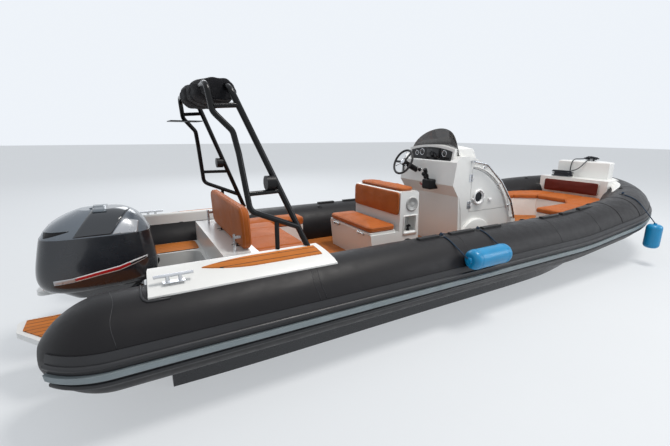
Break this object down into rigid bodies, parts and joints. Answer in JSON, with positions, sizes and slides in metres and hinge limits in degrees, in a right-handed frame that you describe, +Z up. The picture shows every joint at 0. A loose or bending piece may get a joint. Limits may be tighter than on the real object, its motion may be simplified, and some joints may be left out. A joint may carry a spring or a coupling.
{
  "type": "rigid inflatable boat",
  "caption": "Rigid inflatable boat: dark tubes on a deep-vee hull, console with a smoked screen, cushioned bow and benches, roll bar and a tilting outboard motor.",
  "frame": {"origin": "on the centreline at the transom's aft face, at the height of the water", "axes": "+X forward to the bow, +Y to port, +Z up"},
  "size_m": [8.6455, 2.9058, 3.0355],
  "materials": {
    "tube_fabric": "coated fabric with a soft sheen",
    "strip_rubber": "grey-teal, satin",
    "gelcoat": "moulded, glossy",
    "hull_gelcoat": "black, moulded, glossy",
    "deck_sole": "brown planked deck covering",
    "teak": "planked, oiled",
    "cushion": "orange-brown upholstery",
    "dark_cushion": "dark brown upholstery",
    "steel": "polished stainless",
    "black_steel": "black, satin",
    "black_plastic": "black, satin",
    "dark_glass": "smoked",
    "panel": "dark, glossy",
    "rope": "laid rope",
    "cover_cloth": "woven cover",
    "fender_blue": "blue, satin",
    "motor_paint": "charcoal, glossy"
  },
  "bodies": {
    "boat": {"tubes": "tube_fabric", "rub_strip": "strip_rubber", "rub_band": "tube_fabric", "hull": "hull_gelcoat", "deck": "deck_sole", "aft_deck": "gelcoat", "swim_platforms": "gelcoat", "saddles": "gelcoat", "teak_pads": "teak", "bench": "gelcoat", "bench_backrest": "cushion", "backrest_posts": "steel", "side_seat": "gelcoat", "end_cushions": "cushion", "helm_unit": "gelcoat", "helm_back_pad": "cushion", "helm_bolster": "cushion", "console": "gelcoat", "dash_panel": "panel", "throttle": "black_plastic", "steering_column": "black_plastic", "windscreen": "dark_glass", "console_fittings": "steel", "bow_seat": "gelcoat", "bow_cushions": "cushion", "bow_locker": "gelcoat", "bow_flange": "gelcoat", "bow_backrest": "dark_cushion", "stern_cleats": "steel", "bow_cleat": "black_steel", "rope_coil": "rope", "rope_port": "rope", "rope_starboard": "rope", "hatch_hinges": "steel", "roll_bar": "black_steel", "bar_fittings": "black_plastic", "canopy_cover": "cover_cloth", "hand_grips": "black_plastic", "fenders": "fender_blue", "fender_lines": "rope", "shackle_eyes": "steel", "clamp_bracket": "black_steel"},
    "swivel": {"swivel_bracket": "black_steel"},
    "motor": {"leg": "motor_paint", "cowl": "motor_paint"},
    "screw": {"propeller": "motor_paint"},
    "wheel": {"steering_wheel": "black_plastic"},
    "door": {"console_door": "gelcoat", "door_fittings": "gelcoat", "porthole_glass": "dark_glass"},
    "bench_hatch": {"bench_lid": "gelcoat", "bench_cushion": "cushion"},
    "helm_hatch": {"helm_lid": "gelcoat", "helm_cushion": "cushion"}
  },
  "joints": [
    {"name": "motor_tilt", "type": "hinge", "parent": "boat", "child": "swivel", "pos_m": [-0.06, 0, 0.29], "axis": [0, 1, 0], "range_deg": [0, 36]},
    {"name": "motor_steer", "type": "hinge", "parent": "swivel", "child": "motor", "pos_m": [-0.2, 0, 0.29], "axis": [0, 0, 1], "range_deg": [-30, 30]},
    {"name": "propeller_turn", "type": "hinge", "parent": "motor", "child": "screw", "pos_m": [-0.5, 0, -0.575], "axis": [1, 0, 0], "continuous": true},
    {"name": "wheel_turn", "type": "hinge", "parent": "boat", "child": "wheel", "pos_m": [2.99, 0.2, 1.435], "axis": [-0.9063, 0, 0.4226], "range_deg": [-630, 630]},
    {"name": "door_hinge", "type": "hinge", "parent": "boat", "child": "door", "pos_m": [3.502, -0.489, 1.1], "axis": [0, 0, -1], "range_deg": [0, 100]},
    {"name": "bench_hatch_hinge", "type": "hinge", "parent": "boat", "child": "bench_hatch", "pos_m": [1.279, 0, 0.6903], "axis": [0, 1, 0], "range_deg": [0, 95]},
    {"name": "helm_hatch_hinge", "type": "hinge", "parent": "boat", "child": "helm_hatch", "pos_m": [2.041, 0, 0.7253], "axis": [0, -1, 0], "range_deg": [0, 100]}
  ],
  "couplings": [
    {"joint": "wheel_turn", "follows": "motor_steer", "ratio": 21}
  ]
}
